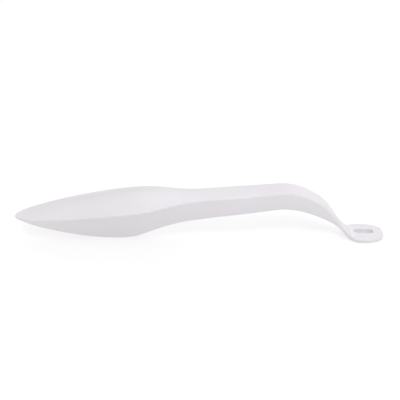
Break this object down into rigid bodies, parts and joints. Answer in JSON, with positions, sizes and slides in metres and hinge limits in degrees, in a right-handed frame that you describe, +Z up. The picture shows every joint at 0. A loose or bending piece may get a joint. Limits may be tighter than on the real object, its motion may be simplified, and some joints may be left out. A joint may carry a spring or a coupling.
{
  "type": "bone folder",
  "caption": "White plastic paper-folding tool: a leaf-shaped head with a softly crowned top over a V-shaped creasing keel, an arched handle and a flat hang tab with an oblong slot.",
  "frame": {"origin": "bottom centre of the whole tool's box, on the surface it lies on and on its mirror plane", "axes": "+X along the tool from the nose to the hang tab, +Z up out of the crowned face of the head, Y across the tool"},
  "size_m": [0.201, 0.0306, 0.03],
  "materials": {
    "white_plastic": "smooth satin moulded white, very slightly cool"
  },
  "bodies": {
    "root": {"top_shell": "white_plastic", "keel_shell": "white_plastic"}
  },
  "joints": []
}
